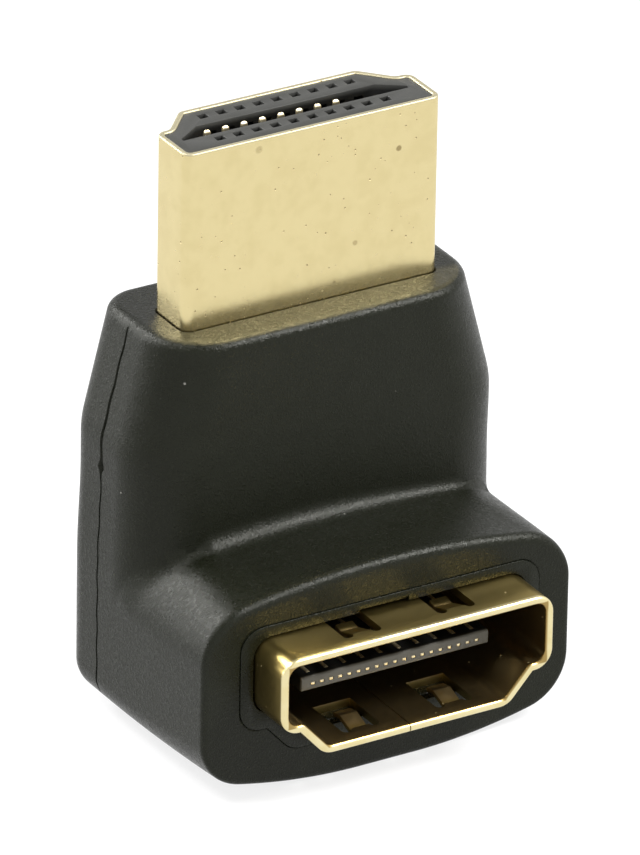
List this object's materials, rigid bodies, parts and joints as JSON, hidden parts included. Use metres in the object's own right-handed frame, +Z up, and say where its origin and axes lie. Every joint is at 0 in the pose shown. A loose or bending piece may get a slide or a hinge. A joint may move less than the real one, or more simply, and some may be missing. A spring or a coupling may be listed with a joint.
{
  "type": "right-angle hdmi adapter",
  "caption": "Black moulded right-angle adapter with a flat gold-plated plug standing on top and a matching socket opening from the foot of its front face.",
  "frame": {"origin": "centre of the footprint, at the level of the sole's flat land", "axes": "+Z up along the plug, from the sole to the plug's tip; +Y from the socket's rim to the back; +X across, to the right as seen from the socket"},
  "size_m": [0.0204, 0.016, 0.0301],
  "materials": {
    "black_moulding": "semi-gloss flexible moulding with a fine grain and worn edges",
    "inner_black": "satin moulding round the socket",
    "board_green": "glass-fibre board with a satin lacquer",
    "plug_plate": "thin bright gold plating over steel sheet, pitted",
    "socket_plate": "thin gold plating over folded sheet",
    "plug_grey": "matt dark grey insulator",
    "socket_grey": "matt grey insulator",
    "contact_plate": "gold-plated spring strip"
  },
  "bodies": {
    "root": {"overmould_body": "black_moulding", "inner_mould": "inner_black", "circuit_board": "board_green", "plug_shell": "plug_plate", "plug_insulator": "plug_grey", "socket_shell": "socket_plate", "socket_insulator": "socket_grey", "plug_contact_1": "contact_plate", "plug_contact_2": "contact_plate", "plug_contact_3": "contact_plate", "plug_contact_4": "contact_plate", "plug_contact_5": "contact_plate", "plug_contact_6": "contact_plate", "plug_contact_7": "contact_plate", "plug_contact_8": "contact_plate", "plug_contact_9": "contact_plate", "plug_contact_10": "contact_plate", "plug_contact_11": "contact_plate", "plug_contact_12": "contact_plate", "plug_contact_13": "contact_plate", "plug_contact_14": "contact_plate", "plug_contact_15": "contact_plate", "plug_contact_16": "contact_plate", "plug_contact_17": "contact_plate", "plug_contact_18": "contact_plate", "plug_contact_19": "contact_plate", "socket_contact_1": "contact_plate", "socket_contact_2": "contact_plate", "socket_contact_3": "contact_plate", "socket_contact_4": "contact_plate", "socket_contact_5": "contact_plate", "socket_contact_6": "contact_plate", "socket_contact_7": "contact_plate", "socket_contact_8": "contact_plate", "socket_contact_9": "contact_plate", "socket_contact_10": "contact_plate", "socket_contact_11": "contact_plate", "socket_contact_12": "contact_plate", "socket_contact_13": "contact_plate", "socket_contact_14": "contact_plate", "socket_contact_15": "contact_plate", "socket_contact_16": "contact_plate", "socket_contact_17": "contact_plate", "socket_contact_18": "contact_plate", "socket_contact_19": "contact_plate"}
  },
  "joints": []
}
